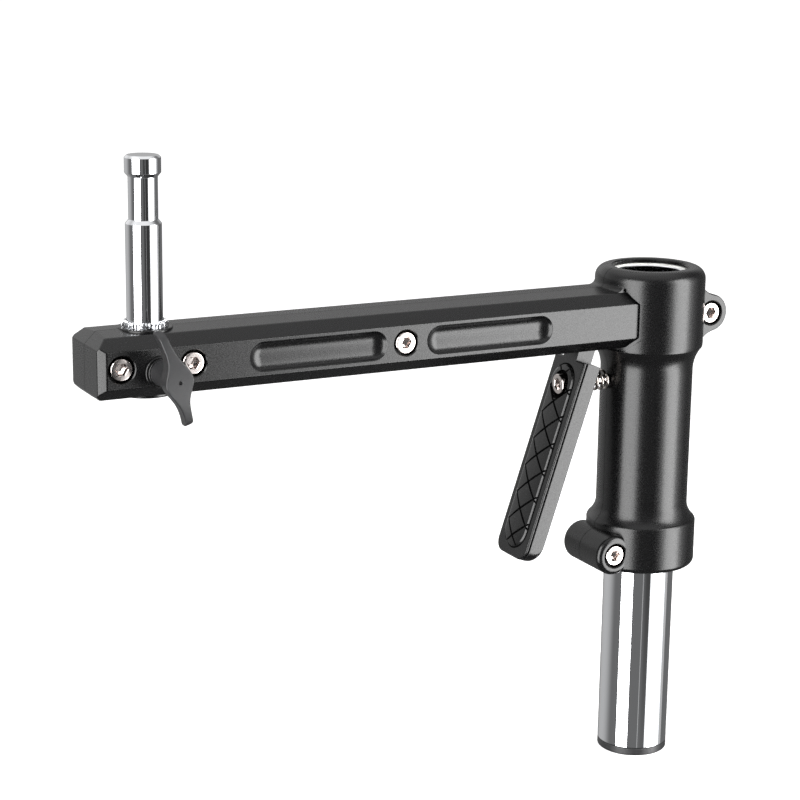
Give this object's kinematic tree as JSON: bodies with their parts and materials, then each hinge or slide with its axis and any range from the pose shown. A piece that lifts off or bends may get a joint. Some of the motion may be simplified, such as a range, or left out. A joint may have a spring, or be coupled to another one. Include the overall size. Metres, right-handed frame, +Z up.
{
  "type": "lighting stand side arm",
  "caption": "Side arm for a lighting stand: a split cast sleeve slides on a steel column, with a lamp stud, wing screw lock and squeeze brake lever.",
  "frame": {"origin": "centre of the flat foot of the column", "axes": "+Z up the column's axis, the arm reaches towards -X, and the screw heads and the wing knob face -Y"},
  "size_m": [0.3294, 0.0688, 0.3167],
  "materials": {
    "black_paint": "satin black powder coat with a fine texture",
    "black_rubber": "moulded black rubber with crossed grooves",
    "black_plastic": "matte moulded nylon",
    "chrome": "polished chrome plate",
    "nickel": "bright nickel plate",
    "steel": "zinc-plated steel",
    "brass": "turned brass",
    "lining": "bonded friction lining",
    "acetal": "turned acetal"
  },
  "bodies": {
    "column": {"column_tube": "chrome", "column_end_plug": "black_plastic"},
    "guides": {"upper_guide_bush": "acetal", "lower_guide_bush": "acetal"},
    "arm": {"front_casting": "black_paint", "back_casting": "black_paint", "clamp_screw_tip": "nickel", "clamp_screw_inner": "nickel", "clamp_screw_middle": "nickel", "clamp_screw_ear": "nickel", "clamp_screw_lug": "nickel", "clamp_nut_tip": "steel", "clamp_nut_inner": "steel", "clamp_nut_middle": "steel", "clamp_nut_ear": "steel", "clamp_nut_lug": "steel", "stud_socket": "steel", "lock_insert": "brass", "lever_pivot_pin": "steel", "stop_bolt": "nickel", "stop_bolt_nut": "steel", "lever_spring": "steel"},
    "stud": {"lamp_stud": "chrome", "crown_ring": "chrome", "stud_washer": "steel", "stud_screw": "nickel"},
    "lock_pad": {"pressure_pad": "brass"},
    "wing": {"wing_knob": "black_plastic", "wing_screw": "steel"},
    "lever": {"brake_lever": "black_paint", "lever_grip": "black_rubber"},
    "brake": {"brake_block": "steel", "brake_lining": "lining"}
  },
  "joints": [
    {"name": "arm_slide", "type": "slide", "parent": "column", "child": "guides", "axis": [0, 0, 1], "range_m": [-0.09, 0.01]},
    {"name": "arm_swivel", "type": "hinge", "parent": "guides", "child": "arm", "pos_m": [0, 0, 0.1], "axis": [0, 0, 1], "continuous": true},
    {"name": "stud_turn", "type": "hinge", "parent": "arm", "child": "stud", "pos_m": [-0.2632, 0, 0.24195], "axis": [0, 0, 1], "continuous": true},
    {"name": "lock_pad_slide", "type": "slide", "parent": "arm", "child": "lock_pad", "axis": [0, -1, 0], "range_m": [0, 0.0027]},
    {"name": "wing_turn", "type": "hinge", "parent": "lock_pad", "child": "wing", "pos_m": [-0.2632, -0.0185, 0.22493], "axis": [0, -1, 0], "range_deg": [0, 720]},
    {"name": "lever_squeeze", "type": "hinge", "parent": "arm", "child": "lever", "pos_m": [-0.038, 0, 0.2205], "axis": [0, -1, 0], "range_deg": [0, 10], "stiffness_Nm_per_rad": 1.3, "springref_deg": -11.46, "deforming": ["lever_spring"]},
    {"name": "brake_slide", "type": "slide", "parent": "arm", "child": "brake", "axis": [-1, 0, 0], "range_m": [0, 0.0016]}
  ],
  "couplings": [
    {"joint": "lock_pad_slide", "follows": "wing_turn", "m_per_rad": 0.00019894},
    {"joint": "brake_slide", "follows": "lever_squeeze", "m_per_rad": 0.009}
  ]
}
